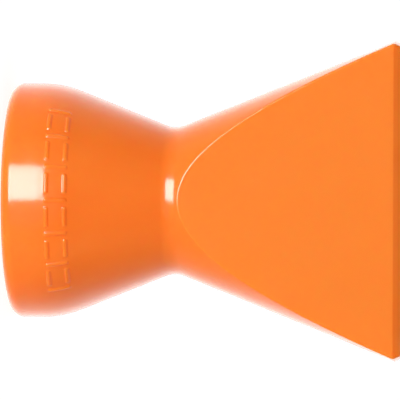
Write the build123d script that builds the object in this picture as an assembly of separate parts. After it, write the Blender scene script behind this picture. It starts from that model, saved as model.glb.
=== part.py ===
from build123d import *

import os
from math import acos, asin, cos, degrees, radians, sqrt, tan

# Flat-slot flare nozzle for a snap-together coolant hose, moulded in one piece.
# It stands on the rim of its ball socket: the origin is the centre of the rim's plane, +Z runs
# along the axis to the slot mouth, X is the wide way of the mouth and Y the thin way.
# Millimetres and degrees.

# Driving dimensions
SOCKET_OD = 25.8
LENGTH = 43.4
WAIST_Z = 18.1  # where the shoulder cone and the flare cone would meet
WAIST_RADIUS = 7.9  # their common radius there, before the waist is rounded
CONE_ANGLE = 21.8  # half angle of the shoulder cone and of the flare cone
MOUTH_THICKNESS = 6.4  # over the flats, where the bevel round the mouth starts
SLOT_WIDTH = 31.75
SLOT_GAP = 3.2
BALL_OD = 21.7  # the hose ball that snaps into the socket

# Bevel round the mouth
BEVEL_LENGTH = 0.8
BEVEL_INSET = 0.45

# Flats of the flare
FLAT_START = 1.1  # from WAIST_Z to the tip of each flat

# Socket
BALL_CLEARANCE = 0.1
BALL_Z = 4.2
LIP_Z = 1.1
LEAD_IN = 0.4  # how much wider than the lip the rim's opening is, on the radius

# Roundings
RIM_ROUND = 1.35
SHOULDER_ROUND = 12.0
WAIST_ROUND = 2.6
FLAT_EDGE_ROUND = 0.35
BEVEL_ROUND = 0.5
MOUTH_ROUND = 0.2
SLOT_ROUND = 0.25

# Raised marks round the front of the socket: upright bars with a pair of dashes between each two
BAR_COUNT = 7
BAR_PITCH = 17.0  # from bar to bar, round the axis
BAR_LENGTH = 2.4
DASH_LENGTH = 2.2
MARK_WIDTH = 0.4
MARK_Z = 6.15  # middle of the row
MARK_RELIEF = 0.15
MARK_DEPTH = 4.0  # of the block that each mark is cut from, along the radius

# Derived dimensions
SLOPE = tan(radians(CONE_ANGLE))
SOCKET_RADIUS = SOCKET_OD / 2
SHOULDER_Z = WAIST_Z - (SOCKET_RADIUS - WAIST_RADIUS) / SLOPE
BEVEL_Z = LENGTH - BEVEL_LENGTH
BEVEL_RADIUS = WAIST_RADIUS + (BEVEL_Z - WAIST_Z) * SLOPE
FLAT_TIP_HALF = WAIST_RADIUS + FLAT_START * SLOPE
FLAT_SLOPE = (FLAT_TIP_HALF - MOUTH_THICKNESS / 2) / (BEVEL_Z - WAIST_Z - FLAT_START)
SEAT_RADIUS = BALL_OD / 2 + BALL_CLEARANCE
SLOT_RADIUS = SLOT_WIDTH / 2
THROAT_RADIUS = SLOT_RADIUS - (LENGTH - WAIST_Z) * SLOPE
WALL = (WAIST_RADIUS - THROAT_RADIUS) * cos(radians(CONE_ANGLE))
THROAT_ROUND = WAIST_ROUND + WALL
LIP_RADIUS = sqrt(SEAT_RADIUS**2 - (BALL_Z - LIP_Z) ** 2)

OVERCUT = 1.0  # how far a cutter runs past the face that it opens
NEAR = 0.1  # tolerance for finding an edge by its height
LEVEL = 0.05  # an edge that climbs less than this lies level
FRONT = -90.0  # the direction of -Y, round the axis


def revolved(outline):
    """The solid that a closed outline of (radius, height) makes round the Z axis."""
    return revolve(make_face(Plane.XZ * outline), Axis.Z)


def shell_outline(grow=0.0):
    """The outer outline, or the same one moved out by grow as far as the mouth's bevel."""
    corner_shift = grow * tan(radians(CONE_ANGLE / 2))
    cone_shift = grow / cos(radians(CONE_ANGLE))
    return FilletPolyline(
        (0, 0),
        (SOCKET_RADIUS + grow, 0),
        (SOCKET_RADIUS + grow, SHOULDER_Z + corner_shift),
        (WAIST_RADIUS + cone_shift, WAIST_Z),
        (BEVEL_RADIUS + cone_shift, BEVEL_Z),
        (BEVEL_RADIUS + cone_shift - BEVEL_INSET, LENGTH),
        (0, LENGTH),
        radius=[0, RIM_ROUND, SHOULDER_ROUND + grow, WAIST_ROUND - grow, BEVEL_ROUND, 0, 0],
        close=True,
    )


def outside_cutters():
    """Two prisms that cut the flare's flats, with the bevel at their upper end."""
    waist_half = MOUTH_THICKNESS / 2 + (BEVEL_Z - WAIST_Z) * FLAT_SLOPE
    bevel_slope = BEVEL_INSET / BEVEL_LENGTH
    top = LENGTH + OVERCUT
    reach = BEVEL_RADIUS + OVERCUT
    section = FilletPolyline(
        (waist_half, WAIST_Z),
        (MOUTH_THICKNESS / 2, BEVEL_Z),
        (MOUTH_THICKNESS / 2 - (top - BEVEL_Z) * bevel_slope, top),
        (reach, top),
        (reach, WAIST_Z),
        radius=[0, BEVEL_ROUND, 0, 0, 0],
        close=True,
    )
    return mirrored_prisms(section, reach)


def slot_cutters():
    """Two prisms that leave the wedge-shaped way to the slot between them."""
    top = LENGTH + OVERCUT
    reach = BEVEL_RADIUS + OVERCUT
    section = Polyline(
        (SLOT_GAP / 2 + (LENGTH - WAIST_Z) * FLAT_SLOPE, WAIST_Z),
        (SLOT_GAP / 2 - OVERCUT * FLAT_SLOPE, top),
        (reach, top),
        (reach, WAIST_Z),
        close=True,
    )
    return mirrored_prisms(section, reach)


def mirrored_prisms(section, reach):
    """A closed section of (thickness, height) drawn out along X, and its mirror image in Y."""
    prism = extrude(make_face(Plane.YZ * section), reach, both=True)
    return prism + mirror(prism, Plane.XZ)


def outer_body():
    """The solid outer shape, with the flare's flats cut and its edges rounded."""
    body = revolved(shell_outline()) - outside_cutters()
    body = fillet(flat_outlines(body), FLAT_EDGE_ROUND)
    return fillet(body.edges().group_by(Axis.Z)[-1], MOUTH_ROUND)


def flat_outlines(body):
    """The edges where the flats and their bevels meet the round sides, tip to mouth."""
    flat_tip = WAIST_Z + FLAT_START
    edges = ShapeList()
    for edge in body.edges():
        box = edge.bounding_box()
        starts_at_tip = abs(box.min.Z - flat_tip) < NEAR
        climbs_bevel = box.min.Z > BEVEL_Z - BEVEL_LENGTH and box.size.Z > LEVEL
        if starts_at_tip or climbs_bevel:
            edges.append(edge)
    return edges


def passage():
    """The hollow: lead-in, lip, ball seat, throat and the wedge-shaped way to the slot."""
    wall_distance = (THROAT_RADIUS + (WAIST_Z - BALL_Z) * SLOPE) * cos(radians(CONE_ANGLE))
    lip_angle = degrees(asin((LIP_Z - BALL_Z) / SEAT_RADIUS))
    seat_angle = CONE_ANGLE + degrees(acos(wall_distance / SEAT_RADIUS))
    lead_slope = LEAD_IN / LIP_Z
    seat = CenterArc((0, BALL_Z), SEAT_RADIUS, lip_angle, seat_angle - lip_angle)
    top = LENGTH + OVERCUT
    cone = FilletPolyline(
        seat @ 1,
        (THROAT_RADIUS, WAIST_Z),
        (SLOT_RADIUS + OVERCUT * SLOPE, top),
        radius=[THROAT_ROUND],
    )
    closing = Polyline(
        (SLOT_RADIUS + OVERCUT * SLOPE, top),
        (0, top),
        (0, -OVERCUT),
        (LIP_RADIUS + lead_slope * (LIP_Z + OVERCUT), -OVERCUT),
        seat @ 0,
    )
    return revolved(seat + cone + closing) - slot_cutters()


def mark_block(angle, height, along, upright):
    """A block across the socket's wall, angle degrees from the front, along by upright in size."""
    block = Pos(SOCKET_RADIUS, 0, height) * Box(MARK_DEPTH, along, upright)
    return Rot(0, 0, FRONT + angle) * block


def marks():
    """The raised row round the front of the socket, which follows the curve of the wall."""
    skin = revolved(shell_outline(MARK_RELIEF)) - revolved(shell_outline(-MARK_RELIEF))
    dash_offset = (BAR_LENGTH - MARK_WIDTH) / 2
    first = -BAR_PITCH * (BAR_COUNT - 1) / 2
    blocks = []
    for number in range(BAR_COUNT):
        blocks.append(mark_block(first + number * BAR_PITCH, MARK_Z, MARK_WIDTH, BAR_LENGTH))
    for number in range(BAR_COUNT - 1):
        middle = first + (number + 0.5) * BAR_PITCH
        for side in (-1, 1):
            blocks.append(mark_block(middle, MARK_Z + side * dash_offset, DASH_LENGTH, MARK_WIDTH))
    return [block & skin for block in blocks]


def nozzle_body():
    body = outer_body() - passage()
    mouth_face = body.faces().sort_by(Axis.Z)[-1]
    body = fillet(mouth_face.inner_wires().edges(), SLOT_ROUND)
    for mark in marks():
        body += mark
    return body


os.makedirs("parts", exist_ok=True)
export_step(nozzle_body(), "parts/nozzle_body.step")
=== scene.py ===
import math

import bmesh
import bpy
import numpy as np
from mathutils import Matrix, Vector


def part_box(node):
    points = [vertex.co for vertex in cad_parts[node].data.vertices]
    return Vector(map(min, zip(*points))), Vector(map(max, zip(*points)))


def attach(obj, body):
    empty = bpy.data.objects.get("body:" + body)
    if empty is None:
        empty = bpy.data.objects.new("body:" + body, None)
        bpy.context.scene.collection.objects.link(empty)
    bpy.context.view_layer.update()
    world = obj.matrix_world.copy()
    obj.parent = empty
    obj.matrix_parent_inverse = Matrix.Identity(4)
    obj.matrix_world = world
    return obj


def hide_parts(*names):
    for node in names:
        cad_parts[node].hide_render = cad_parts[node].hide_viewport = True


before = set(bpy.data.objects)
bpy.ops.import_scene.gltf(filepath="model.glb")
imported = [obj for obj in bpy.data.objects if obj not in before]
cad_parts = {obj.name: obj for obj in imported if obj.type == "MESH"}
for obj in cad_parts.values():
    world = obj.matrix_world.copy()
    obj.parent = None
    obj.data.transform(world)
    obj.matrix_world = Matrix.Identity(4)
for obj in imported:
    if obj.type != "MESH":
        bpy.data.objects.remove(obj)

# Flat-slot flare nozzle for a snap-together coolant hose, one glossy orange moulding.
# Metres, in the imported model's frame: the nozzle stands on its socket's rim, +Z runs up its
# axis to the slot mouth, X is the wide way of the mouth, and the raised marks face -Y.

MM = 0.001
DEG = math.pi / 180

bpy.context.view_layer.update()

# Outside
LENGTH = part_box("nozzle_body")[1][2]
SOCKET_R = 12.9 * MM
CONE_ANGLE = 21.8 * DEG
WAIST_Z = 18.1 * MM
WAIST_R = 7.9 * MM
MOUTH_HALF = 3.2 * MM
BEVEL_LENGTH = 0.8 * MM
BEVEL_INSET = 0.45 * MM
FLAT_START = 1.1 * MM
RIM_ROUND = 1.35 * MM
SHOULDER_ROUND = 12.0 * MM
WAIST_ROUND = 2.6 * MM
FLAT_EDGE_ROUND = 0.2 * MM
BEVEL_ROUND = 0.5 * MM
MOUTH_ROUND = 0.2 * MM

# Inside
SLOT_WIDTH = 31.75 * MM
SLOT_HALF = 1.6 * MM
SLOT_ROUND = 0.25 * MM
SLOT_CORNER_ROUND = 0.5 * MM
BALL_Z = 4.2 * MM
SEAT_R = 10.95 * MM
LIP_Z = 1.1 * MM
LIP_ROUND = 0.2 * MM
LEAD_IN = 0.4 * MM
FOOT_ROUND = 0.15 * MM

# Worked out from those
SLOPE = math.tan(CONE_ANGLE)
SHOULDER_Z = WAIST_Z - (SOCKET_R - WAIST_R) / SLOPE
BEVEL_Z = LENGTH - BEVEL_LENGTH
BEVEL_R = WAIST_R + (BEVEL_Z - WAIST_Z) * SLOPE
BEVEL_ANGLE = math.atan(BEVEL_INSET / BEVEL_LENGTH)
FLAT_SLOPE = (WAIST_R + FLAT_START * SLOPE - MOUTH_HALF) / (BEVEL_Z - WAIST_Z - FLAT_START)
FLAT_ANGLE = math.atan(FLAT_SLOPE)
SLOT_R = SLOT_WIDTH / 2
THROAT_R = SLOT_R - (LENGTH - WAIST_Z) * SLOPE
WALL = (WAIST_R - THROAT_R) * math.cos(CONE_ANGLE)
LIP_R = math.sqrt(SEAT_R**2 - (BALL_Z - LIP_Z) ** 2)
RIM_INNER_R = LIP_R + LEAD_IN

# Raised marks round the front of the socket
BAR_COUNT = 7
BAR_PITCH = 17 * DEG
BAR_LENGTH = 2.4 * MM
DASH_LENGTH = 2.2 * MM
MARK_WIDTH = 0.4 * MM
MARK_Z = 6.15 * MM
MARK_RELIEF = 0.14 * MM
MARK_CORNER = 0.12 * MM
MARK_SOFT = 0.1 * MM
BAND_LOW = 4.7 * MM
BAND_HIGH = 7.6 * MM
BAND_TURN = 57 * DEG
BAND_CUTS = 3

# Parting line of the mould, up the two narrow sides
SEAM_HEIGHT = 0.03 * MM
SEAM_WIDTH = 0.07 * MM

# Mesh fineness
FLAT_COLUMNS = 24
CORNER_COLUMNS = 6
ROUND_COLUMNS = 38
SEAM_OFFSETS = np.array([0.3, 0.16, 0.09, 0.045, 0.0]) * MM
NARROW_FLAT = 0.35 * MM
NARROW_CORNER = 0.12 * MM
# Extra rows above and below the tip of the flats
TIP_OFFSETS = np.array([-0.12, -0.06, 0.0, 0.06, 0.12, 0.2, 0.32, 0.48, 0.68, 0.92]) * MM
CLOSEST_ROWS = 0.02 * MM
FLAT_REACH = 0.5 * MM  # past a circle this much smaller than the flats' distance, they don't matter
NO_FLAT = 1.0  # a distance that no circle reaches, for levels without flats
LONGEST_ROW = 0.6 * MM
BAND_ROW = 0.26 * MM
EVEN_BELOW = 9.0 * MM

# The camera
VIEW_ELEVATION = 6.3 * DEG
VIEW_DISTANCE = 1.5
VIEW_WIDTH = 44.26 * MM
VIEW_CENTRE_Z = 20.82 * MM
VIEW_CENTRE_X = -0.085 * MM
VIEW_ROLL = 0.21 * DEG
SENSOR_WIDTH = 36.0

# The plastic, and the light in the room by how far a direction turns from the camera's side
BASE_COLOUR = (0.87, 0.205, 0.022)
FLOW_COLOUR = (0.85, 0.182, 0.018)
# Painted glow: a paler colour for the flats, standing in for light shining through their thin walls
PAINTED_GLOW_COLOUR = (0.89, 0.218, 0.017)
ROOM_FRONT = 0.12
ROOM_STEPS = [
    (-0.93, 0.12),
    (-0.86, 0.02),
    (-0.1, 0.03),
    (0.3, 0.17),
    (0.5, 0.32),
    (0.75, 0.7),
    (0.88, 1.0),
]
ROOM_STRENGTH = 1.45
SOFTBOX_DISTANCE = 0.6


# ---------------------------------------------------------------- the nozzle's surface


def rounded(points, rounds, turn_per_step=9 * DEG):
    """A polyline of (radius, height) with each inner corner rounded to its radius."""
    path = [np.array(points[0], float)]
    for before, corner, after, radius in zip(points, points[1:], points[2:], rounds):
        corner = np.array(corner, float)
        back = np.array(before, float) - corner
        ahead = np.array(after, float) - corner
        back /= np.linalg.norm(back)
        ahead /= np.linalg.norm(ahead)
        half = math.acos(float(np.clip(back @ ahead, -1, 1))) / 2
        inward = (back + ahead) / np.linalg.norm(back + ahead)
        centre = corner + inward * radius / math.sin(half)
        first = corner + back * radius / math.tan(half) - centre
        last = corner + ahead * radius / math.tan(half) - centre
        turn = math.atan2(first[0] * last[1] - first[1] * last[0], float(first @ last))
        steps = max(3, math.ceil(abs(turn) / turn_per_step))
        for angle in np.linspace(0, turn, steps + 1):
            c, s = math.cos(angle), math.sin(angle)
            path.append(centre + np.array([c * first[0] - s * first[1], s * first[0] + c * first[1]]))
    path.append(np.array(points[-1], float))
    return path


def divided(path, longest=LONGEST_ROW):
    """The same path with no run longer than longest."""
    out = [path[0]]
    for a, b in zip(path, path[1:]):
        count = max(1, math.ceil(np.linalg.norm(b - a) / longest))
        out += [a + (b - a) * step / count for step in range(1, count + 1)]
    return out


def heights_with_tip(path, tip):
    """The path with extra points round the flats' tip, close there and wider further up."""
    heights = [p[1] for p in path]
    radii = [p[0] for p in path]
    every = sorted(set(heights) | set(tip + TIP_OFFSETS))
    kept = [every[0]]
    for height in every[1:]:
        if height - kept[-1] > CLOSEST_ROWS:
            kept.append(height)
    return [np.array([np.interp(height, heights, radii), height]) for height in kept]


def evenness(height):
    """How evenly a level's columns are spread: 1 round the socket, 0 from the waist up."""
    share = min(max((WAIST_Z - height) / (WAIST_Z - EVEN_BELOW), 0), 1)
    return share * share * (3 - 2 * share)


def ring(radius, half, corner, even):
    """One level's outline: a circle of that radius between two flats half from the middle.

    The corner where a flat meets the circle is rounded. Returns the points of one quarter.
    """
    cone, flat = math.cos(CONE_ANGLE), math.cos(FLAT_ANGLE)
    edge_sine = min(half / radius, 1.0)
    turn = math.acos(min(1.0, cone * flat * edge_sine - math.sin(CONE_ANGLE) * math.sin(FLAT_ANGLE)))
    blend = max(corner * (1 - math.cos(turn)), 1e-6)
    flat_end = math.sqrt(max((radius - blend / cone) ** 2 - half**2, 0)) if half < radius else 0
    low = min(half, radius)
    start = math.atan2(low, max(flat_end, NARROW_FLAT))
    stop = math.asin(min(max((half - blend / flat) / radius, 0), 1))
    stop = min(stop, start - NARROW_CORNER / radius)

    along = 1 - (1 - np.linspace(0, 1, FLAT_COLUMNS + 1)) ** 1.6
    flat_angles = np.arctan2(low, max(flat_end, NARROW_FLAT) * along)
    corner_angles = np.linspace(start, stop, CORNER_COLUMNS + 1)[1:]
    seam_start = SEAM_OFFSETS[0] / radius
    share = np.linspace(0, 1, ROUND_COLUMNS + 1)[1:] ** 1.25
    round_angles = stop + (seam_start - stop) * share
    seam_angles = SEAM_OFFSETS[1:] / radius
    angles = np.concatenate([flat_angles, corner_angles, round_angles])
    angles += even * (np.linspace(math.pi / 2, seam_start, len(angles)) - angles)
    angles = np.concatenate([angles, seam_angles])

    sine = np.sin(angles)
    reach = np.full_like(angles, radius)
    if half < radius + FLAT_REACH:
        on_flat = half / np.maximum(sine, 1e-9)
        inside_cone = (on_flat - radius) * cone + blend <= 0
        inside_flat = (radius * sine - half) * flat + blend <= 0
        # (cone (t - radius) + blend)^2 + (flat (t sine - half) + blend)^2 = blend^2
        a1, b1 = cone, blend - radius * cone
        a2, b2 = sine * flat, blend - half * flat
        a = a1**2 + a2**2
        b = 2 * (a1 * b1 + a2 * b2)
        c = b1**2 + b2**2 - blend**2
        both = (-b + np.sqrt(np.maximum(b * b - 4 * a * c, 0))) / (2 * a)
        reach = np.where(inside_cone, on_flat, np.where(inside_flat, radius, both))
    x, y = reach * np.cos(angles), reach * sine
    return x, y


def seam_lift(x, y):
    """How far the parting line stands out of a point of the outside."""
    return SEAM_HEIGHT * np.exp(-((y / SEAM_WIDTH) ** 2)) * (x > 0)


def whole_ring(x, y, height):
    """A quarter's points mirrored into the whole ring, from +Y clockwise."""
    quarter = np.column_stack([x, y])
    across = quarter[::-1][1:]
    right = np.vstack([quarter, across * [1, -1]])
    left = right[::-1][1:-1] * [-1, 1]
    loop = np.vstack([right, left])
    return np.column_stack([loop, np.full(len(loop), height)])


def outside_rings():
    """The rings of the outside, from the rim's foot up to the mouth's end face."""
    mouth_end = (BEVEL_R - BEVEL_INSET, LENGTH)
    corners = [(RIM_INNER_R + FOOT_ROUND, 0.0), (SOCKET_R, 0.0), (SOCKET_R, SHOULDER_Z), (WAIST_R, WAIST_Z),
               (BEVEL_R, BEVEL_Z), mouth_end, (mouth_end[0] - 2 * MOUTH_ROUND, LENGTH)]
    path = rounded(corners, [RIM_ROUND, SHOULDER_ROUND, WAIST_ROUND, BEVEL_ROUND, MOUTH_ROUND], 4 * DEG)
    waist_half = MOUTH_HALF + (BEVEL_Z - WAIST_Z) * FLAT_SLOPE
    flat_corners = [(waist_half, WAIST_Z), (MOUTH_HALF, BEVEL_Z), (MOUTH_HALF - BEVEL_INSET, LENGTH)]
    flat_path = rounded(flat_corners, [BEVEL_ROUND], 4 * DEG)
    flat_halves, flat_heights = zip(*flat_path)

    bevel_middle = BEVEL_Z + BEVEL_LENGTH / 2
    foot_part = [p for p in path if p[1] < SHOULDER_Z]
    foot_part = divided(foot_part, BAND_ROW)
    rising = [p for p in path if SHOULDER_Z <= p[1] < bevel_middle]
    socket = divided([foot_part[-1]] + [p for p in rising if p[1] < BAND_HIGH + LONGEST_ROW], BAND_ROW)[1:]
    rising = socket + divided([socket[-1]] + [p for p in rising if p[1] >= BAND_HIGH + LONGEST_ROW])[1:]
    rings = []
    for radius, height in foot_part + heights_with_tip(rising, WAIST_Z + FLAT_START):
        half = float(np.interp(height, flat_heights, flat_halves)) if height > WAIST_Z else NO_FLAT
        rings.append((radius, half, height))
    for radius, height in [p for p in path[:-1] if p[1] >= bevel_middle]:
        rings.append((radius, MOUTH_HALF + radius - BEVEL_R, height))
    loops = []
    for radius, half, height in rings:
        x, y = ring(radius, half, FLAT_EDGE_ROUND, evenness(height))
        if RIM_ROUND / 2 < height < BEVEL_Z:
            x = x + seam_lift(x, y)
        loops.append(whole_ring(x, y, height))
    return loops


def inside_rings():
    """The rings of the inside, from the mouth's end face down to the rim's foot."""
    slot_centre = LENGTH - SLOT_ROUND
    cone_centre = SLOT_R + SLOT_ROUND * (1 / math.cos(CONE_ANGLE) - SLOPE)
    flat_centre = SLOT_HALF + SLOT_ROUND * (1 / math.cos(FLAT_ANGLE) + FLAT_SLOPE)
    rings = []
    for angle in np.linspace(math.pi / 2, -FLAT_ANGLE, 9):
        height = slot_centre + SLOT_ROUND * math.sin(angle)
        half = flat_centre - SLOT_ROUND * math.cos(angle)
        radius = SLOT_R + (height - LENGTH) * SLOPE
        if angle > CONE_ANGLE:
            radius = cone_centre - SLOT_ROUND * math.cos(angle)
        rings.append((radius, half, height))

    distance = (THROAT_R + (WAIST_Z - BALL_Z) * SLOPE) * math.cos(CONE_ANGLE)
    seat_top = CONE_ANGLE + math.acos(distance / SEAT_R)
    seat_low = math.asin((LIP_Z - BALL_Z) / SEAT_R)
    seat = [
        (SEAT_R * math.cos(angle), BALL_Z + SEAT_R * math.sin(angle))
        for angle in np.linspace(seat_top, seat_low, 26)
    ]
    top = rings[-1][2]
    path = rounded([(SLOT_R + (top - LENGTH) * SLOPE, top), (THROAT_R, WAIST_Z), seat[0]],
                   [WAIST_ROUND + WALL], 4 * DEG)
    tip_height = WAIST_Z + (SLOT_HALF + (LENGTH - WAIST_Z) * FLAT_SLOPE - THROAT_R) / (SLOPE + FLAT_SLOPE)
    flare = heights_with_tip(divided(path)[::-1], tip_height)[::-1]
    lip = rounded([seat[-2], seat[-1], (RIM_INNER_R, 0.0), (RIM_INNER_R + 2 * FOOT_ROUND, 0.0)],
                  [LIP_ROUND, FOOT_ROUND])
    for radius, height in flare[1:] + divided([np.array(p) for p in seat[1:-1]])[1:] + lip[1:-1]:
        half = SLOT_HALF + (LENGTH - height) * FLAT_SLOPE if height > WAIST_Z else NO_FLAT
        rings.append((radius, half, height))
    loops = []
    for radius, half, height in rings:
        x, y = ring(radius, half, SLOT_CORNER_ROUND, evenness(height))
        loops.append(whole_ring(x, y, height))
    return loops


def wall_radius(height):
    """The outside's radius at a height of the socket, where the marks stand."""
    corners = [(SOCKET_R, RIM_ROUND), (SOCKET_R, SHOULDER_Z), (WAIST_R, WAIST_Z)]
    path = rounded(corners, [SHOULDER_ROUND], 0.5 * DEG)
    return np.interp(height, [p[1] for p in path], [p[0] for p in path])


def mark_places():
    """Turn from the front, height, length and whether upright, of each raised mark."""
    dash_offset = (BAR_LENGTH - MARK_WIDTH) / 2
    first = -BAR_PITCH * (BAR_COUNT - 1) / 2
    places = [(first + n * BAR_PITCH, MARK_Z, BAR_LENGTH, True) for n in range(BAR_COUNT)]
    for n in range(BAR_COUNT - 1):
        for side in (-1, 1):
            places.append((first + (n + 0.5) * BAR_PITCH, MARK_Z + side * dash_offset, DASH_LENGTH, False))
    return places


def mark_lift(turn, height, places):
    """How far the marks stand out of the socket's wall, with soft sides and rounded ends."""
    lift = np.zeros_like(turn)
    for mark_turn, mark_height, length, upright in places:
        side = (turn - mark_turn) * SOCKET_R
        up = height - mark_height
        along, across = (up, side) if upright else (side, up)
        past_end = np.maximum(np.abs(along) - length / 2 + MARK_CORNER, 0)
        past_side = np.maximum(np.abs(across) - MARK_WIDTH / 2 + MARK_CORNER, 0)
        outside = np.hypot(past_end, past_side) - MARK_CORNER
        rise = np.clip((MARK_SOFT - outside) / (2 * MARK_SOFT), 0, 1)
        lift = np.maximum(lift, MARK_RELIEF * rise**2 * (3 - 2 * rise))
    return lift


def in_band(point):
    """Whether a point of the skin is on the outside, where the marks are."""
    if not BAND_LOW < point.z < BAND_HIGH or abs(math.atan2(point.x, -point.y)) > BAND_TURN:
        return False
    return math.hypot(point.x, point.y) > (SEAT_R + SOCKET_R) / 2


def raise_marks(work):
    """Refines the front of the socket and raises the marks out of it."""
    band = [face for face in work.faces if in_band(face.calc_center_median())]
    edges = list({edge for face in band for edge in face.edges})
    bmesh.ops.subdivide_edges(work, edges=edges, cuts=BAND_CUTS, use_grid_fill=True)
    points = [vert for vert in work.verts if in_band(vert.co)]
    turn = np.array([math.atan2(vert.co.x, -vert.co.y) for vert in points])
    height = np.array([vert.co.z for vert in points])
    radius = wall_radius(height) + mark_lift(turn, height, mark_places())
    for vert, angle, reach in zip(points, turn, radius):
        vert.co.x = reach * math.sin(angle)
        vert.co.y = -reach * math.cos(angle)


def nozzle_mesh():
    """The whole moulding as one closed skin, marks included."""
    loops = outside_rings() + inside_rings()
    columns = len(loops[0])
    faces = []
    for i in range(len(loops)):
        first, second = i * columns, (i + 1) % len(loops) * columns
        for j in range(columns):
            k = (j + 1) % columns
            faces.append((first + j, second + j, second + k, first + k))
    mesh = bpy.data.meshes.new("nozzle_skin")
    mesh.from_pydata(np.vstack(loops).tolist(), [], faces)
    work = bmesh.new()
    work.from_mesh(mesh)
    raise_marks(work)
    bmesh.ops.recalc_face_normals(work, faces=work.faces)
    work.to_mesh(mesh)
    work.free()
    mesh.shade_smooth()
    return mesh


# ---------------------------------------------------------------- material


def new_material(name):
    material = bpy.data.materials.new(name)
    material.use_nodes = True
    nodes = material.node_tree.nodes
    nodes.clear()
    shader = nodes.new("ShaderNodeBsdfPrincipled")
    output = nodes.new("ShaderNodeOutputMaterial")
    material.node_tree.links.new(shader.outputs["BSDF"], output.inputs["Surface"])
    return material, nodes, material.node_tree.links, shader


def noise(nodes, links, coordinates, scale, detail, stretch=(1, 1, 1)):
    """A 3-D noise in the object's own coordinates, scale features to the metre."""
    mapping = nodes.new("ShaderNodeMapping")
    mapping.inputs["Scale"].default_value = stretch
    links.new(coordinates, mapping.inputs["Vector"])
    texture = nodes.new("ShaderNodeTexNoise")
    texture.inputs["Scale"].default_value = scale
    texture.inputs["Detail"].default_value = detail
    links.new(mapping.outputs["Vector"], texture.inputs["Vector"])
    return texture.outputs["Fac"]


def ramp(nodes, links, factor, low, high):
    """The factor stretched so that it runs from low to high over the noise's usual spread."""
    spread = nodes.new("ShaderNodeMapRange")
    spread.inputs["From Min"].default_value = 0.3
    spread.inputs["From Max"].default_value = 0.7
    spread.inputs["To Min"].default_value = low
    spread.inputs["To Max"].default_value = high
    links.new(factor, spread.inputs["Value"])
    return spread.outputs["Result"]


def between(nodes, links, value, start, end):
    """0 below start, 1 above end."""
    step = nodes.new("ShaderNodeMapRange")
    step.inputs["From Min"].default_value = start
    step.inputs["From Max"].default_value = end
    links.new(value, step.inputs["Value"])
    return step.outputs["Result"]


def painted_glow_mask(nodes, links):
    """1 on the flare's flats and 0 elsewhere: the mask for the painted glow that stands in for light
    shining through their thin walls.
    """
    coordinates = nodes.new("ShaderNodeTexCoord")
    place = nodes.new("ShaderNodeSeparateXYZ")
    links.new(coordinates.outputs["Object"], place.inputs[0])
    facing = nodes.new("ShaderNodeSeparateXYZ")
    links.new(coordinates.outputs["Normal"], facing.inputs[0])
    size = nodes.new("ShaderNodeMath")
    size.operation = "ABSOLUTE"
    links.new(facing.outputs["Y"], size.inputs[0])
    both = nodes.new("ShaderNodeMath")
    both.operation = "MULTIPLY"
    links.new(between(nodes, links, place.outputs["Z"], WAIST_Z, WAIST_Z + FLAT_START), both.inputs[0])
    links.new(between(nodes, links, size.outputs[0], 0.94, 0.97), both.inputs[1])
    return both.outputs[0]


def orange_acetal():
    """Glossy moulded acetal: deep orange with faint flow streaks, a soft ripple and light wear, with the
    flats painted paler as a painted glow of light through their thin walls.
    """
    material, nodes, links, shader = new_material("orange_acetal_gloss")
    coordinates = nodes.new("ShaderNodeTexCoord").outputs["Object"]

    streaks = noise(nodes, links, coordinates, 150, 3, stretch=(1, 1, 0.3))
    colour = nodes.new("ShaderNodeMix")
    colour.data_type = "RGBA"
    colour.inputs["A"].default_value = (*BASE_COLOUR, 1)
    colour.inputs["B"].default_value = (*FLOW_COLOUR, 1)
    links.new(ramp(nodes, links, streaks, 0, 1), colour.inputs["Factor"])
    # Painted glow: the flats are painted paler where light would shine through their thin walls
    painted_glow = nodes.new("ShaderNodeMix")
    painted_glow.data_type = "RGBA"
    painted_glow.inputs["B"].default_value = (*PAINTED_GLOW_COLOUR, 1)
    links.new(painted_glow_mask(nodes, links), painted_glow.inputs["Factor"])
    links.new(colour.outputs["Result"], painted_glow.inputs["A"])
    links.new(painted_glow.outputs["Result"], shader.inputs["Base Color"])

    wear = noise(nodes, links, coordinates, 420, 5)
    links.new(ramp(nodes, links, wear, 0.13, 0.21), shader.inputs["Roughness"])

    ripple = noise(nodes, links, coordinates, 260, 1)
    grain = noise(nodes, links, coordinates, 2600, 2)
    height = nodes.new("ShaderNodeMath")
    height.operation = "MULTIPLY_ADD"
    height.inputs[1].default_value = 0.06
    links.new(grain, height.inputs[0])
    links.new(ripple, height.inputs[2])
    bump = nodes.new("ShaderNodeBump")
    bump.inputs["Strength"].default_value = 0.5
    bump.inputs["Distance"].default_value = 0.00004
    links.new(height.outputs["Value"], bump.inputs["Height"])
    links.new(bump.outputs["Normal"], shader.inputs["Normal"])

    shader.inputs["IOR"].default_value = 1.55
    shader.inputs["Specular IOR Level"].default_value = 0.92
    shader.inputs["Subsurface Weight"].default_value = 0.7
    shader.inputs["Subsurface Radius"].default_value = (1.0, 0.4, 0.1)
    shader.inputs["Subsurface Scale"].default_value = 0.0025
    return material


def floor_material():
    material, _, _, shader = new_material("floor_white")
    shader.inputs["Base Color"].default_value = (0.3, 0.3, 0.3, 1)
    shader.inputs["Roughness"].default_value = 0.9
    shader.inputs["Emission Color"].default_value = (1, 1, 1, 1)
    shader.inputs["Emission Strength"].default_value = 0.88
    return material


# ---------------------------------------------------------------- stage


def add_floor():
    mesh = bpy.data.meshes.new("floor")
    half = 4.0
    corners = [(-half, -half, 0), (half, -half, 0), (half, half, 0), (-half, half, 0)]
    mesh.from_pydata(corners, [], [(0, 1, 2, 3)])
    floor = bpy.data.objects.new("floor", mesh)
    bpy.context.scene.collection.objects.link(floor)
    mesh.materials.append(floor_material())
    floor.visible_glossy = False
    floor.visible_shadow = False


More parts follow.
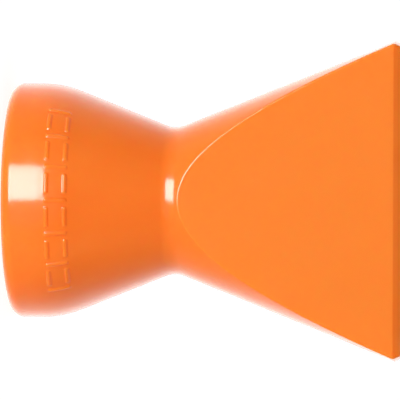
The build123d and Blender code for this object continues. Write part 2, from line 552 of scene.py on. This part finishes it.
def add_softbox(name, azimuth, elevation, width, height, power):
    """A softbox that looks at the nozzle's middle: azimuth 0 is the camera's side, above 0 is -X."""
    toward = Vector((
        -math.sin(azimuth) * math.cos(elevation),
        -math.cos(azimuth) * math.cos(elevation),
        math.sin(elevation),
    ))
    light = bpy.data.lights.new(name, "AREA")
    light.shape = "RECTANGLE"
    light.size = width
    light.size_y = height
    light.energy = power
    lamp = bpy.data.objects.new(name, light)
    lamp.location = Vector((0, 0, LENGTH / 2)) + toward * SOFTBOX_DISTANCE
    lamp.rotation_mode = "QUATERNION"
    lamp.rotation_quaternion = toward.to_track_quat("Z", "Y")
    bpy.context.scene.collection.objects.link(lamp)
    lamp.visible_camera = False
    return lamp


def add_world():
    """A white cyclorama behind the nozzle that darkens towards the camera's side of the room."""
    world = bpy.data.worlds.new("studio")
    world.use_nodes = True
    bpy.context.scene.world = world
    nodes, links = world.node_tree.nodes, world.node_tree.links
    nodes.clear()
    direction = nodes.new("ShaderNodeTexCoord").outputs["Generated"]
    parts = nodes.new("ShaderNodeSeparateXYZ")
    links.new(direction, parts.inputs[0])
    room_light = nodes.new("ShaderNodeValToRGB")
    stops = room_light.color_ramp.elements
    stops[0].position = 0.0
    stops[0].color = (ROOM_FRONT, ROOM_FRONT, ROOM_FRONT, 1)
    stops[1].position = 1.0
    stops[1].color = (1, 1, 1, 1)
    for facing, brightness in ROOM_STEPS:
        stop = stops.new((facing + 1) / 2)
        stop.color = (brightness, brightness, brightness, 1)
    along_y = nodes.new("ShaderNodeMapRange")
    along_y.inputs["From Min"].default_value = -1
    along_y.inputs["From Max"].default_value = 1
    links.new(parts.outputs["Y"], along_y.inputs["Value"])
    links.new(along_y.outputs["Result"], room_light.inputs["Fac"])
    output = nodes.new("ShaderNodeOutputWorld")
    room = nodes.new("ShaderNodeBackground")
    room.inputs["Strength"].default_value = ROOM_STRENGTH
    links.new(room_light.outputs["Color"], room.inputs["Color"])
    seen = nodes.new("ShaderNodeBackground")
    seen.inputs["Color"].default_value = (1, 1, 1, 1)
    seen.inputs["Strength"].default_value = 1.05
    path = nodes.new("ShaderNodeLightPath")
    mix = nodes.new("ShaderNodeMixShader")
    links.new(path.outputs["Is Camera Ray"], mix.inputs[0])
    links.new(room.outputs[0], mix.inputs[1])
    links.new(seen.outputs[0], mix.inputs[2])
    links.new(mix.outputs[0], output.inputs["Surface"])


def add_camera():
    """Level with the nozzle, a little above it, and rolled so that the axis lies across the frame."""
    camera = bpy.data.cameras.new("camera")
    camera.sensor_width = SENSOR_WIDTH
    camera.lens = SENSOR_WIDTH * VIEW_DISTANCE / VIEW_WIDTH
    camera.clip_start = 0.1
    camera.clip_end = 20.0
    thing = bpy.data.objects.new("camera", camera)
    c, s = math.cos(VIEW_ELEVATION), math.sin(VIEW_ELEVATION)
    back = Vector((0, -c, s))
    right = Vector((0, s, c))
    up = Vector((-1, 0, 0))
    turn = Matrix((right, up, back)).transposed().to_4x4() @ Matrix.Rotation(VIEW_ROLL, 4, "Z")
    place = Vector((VIEW_CENTRE_X, 0, VIEW_CENTRE_Z)) + back * VIEW_DISTANCE
    thing.matrix_world = Matrix.Translation(place) @ turn
    bpy.context.scene.collection.objects.link(thing)
    bpy.context.scene.camera = thing


add_camera()
bpy.context.scene.view_settings.view_transform = "Standard"
add_world()
add_floor()
add_softbox("key_softbox", azimuth=17 * DEG, elevation=-16 * DEG, width=0.36, height=0.44, power=3.8)
fill = add_softbox("fill_softbox", azimuth=-72 * DEG, elevation=25 * DEG, width=0.5, height=0.5, power=1.25)
fill.visible_glossy = False

mesh = nozzle_mesh()
nozzle = bpy.data.objects.new("nozzle_body_moulding", mesh)
bpy.context.scene.collection.objects.link(nozzle)
mesh.materials.append(orange_acetal())
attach(nozzle, "root")
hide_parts("nozzle_body")
